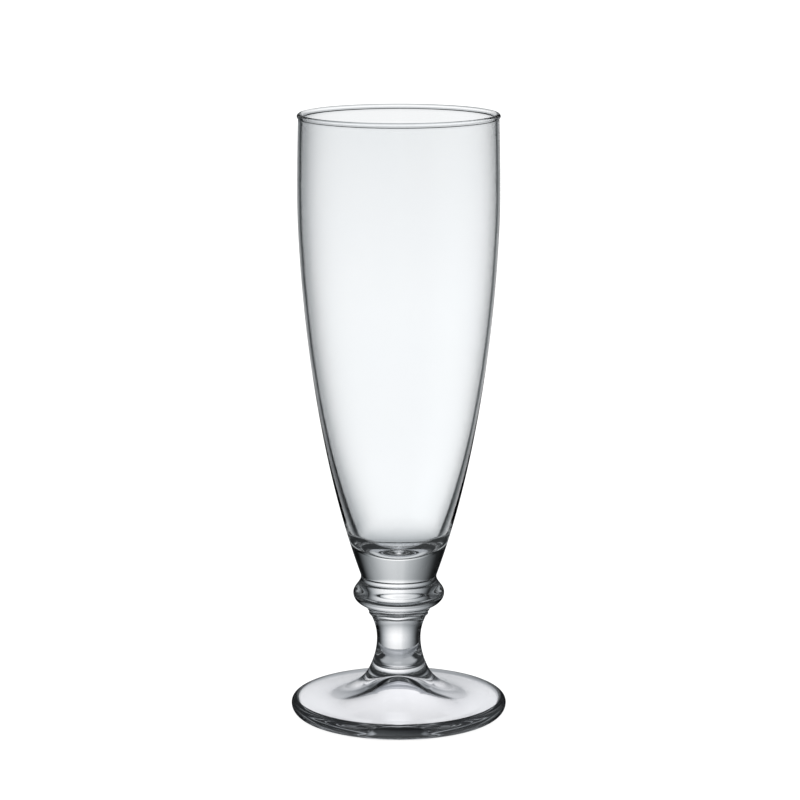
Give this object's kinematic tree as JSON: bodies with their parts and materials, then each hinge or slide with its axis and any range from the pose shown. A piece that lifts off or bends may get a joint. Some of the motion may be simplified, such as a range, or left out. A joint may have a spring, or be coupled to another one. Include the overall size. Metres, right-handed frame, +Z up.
{
  "type": "footed juice glass",
  "caption": "Tall clear drinking glass: a slender tapering bowl with a beaded rim on a ring collar, a short waisted stem and a heavy round foot.",
  "frame": {"origin": "centre of the ring that the foot stands on, on the table's surface", "axes": "+Z up along the axis of the glass, towards the rim; the glass is round, so X and Y are free"},
  "size_m": [0.068, 0.068, 0.19],
  "materials": {
    "foot_glass": "clear pressed glass, polished",
    "stem_glass": "clear drawn glass, fire-polished",
    "knop_glass": "clear tooled glass, fire-polished",
    "bowl_glass": "clear blown glass, fire-polished"
  },
  "bodies": {
    "root": {"foot": "foot_glass", "stem": "stem_glass", "knop": "knop_glass", "bowl": "bowl_glass"}
  },
  "joints": []
}
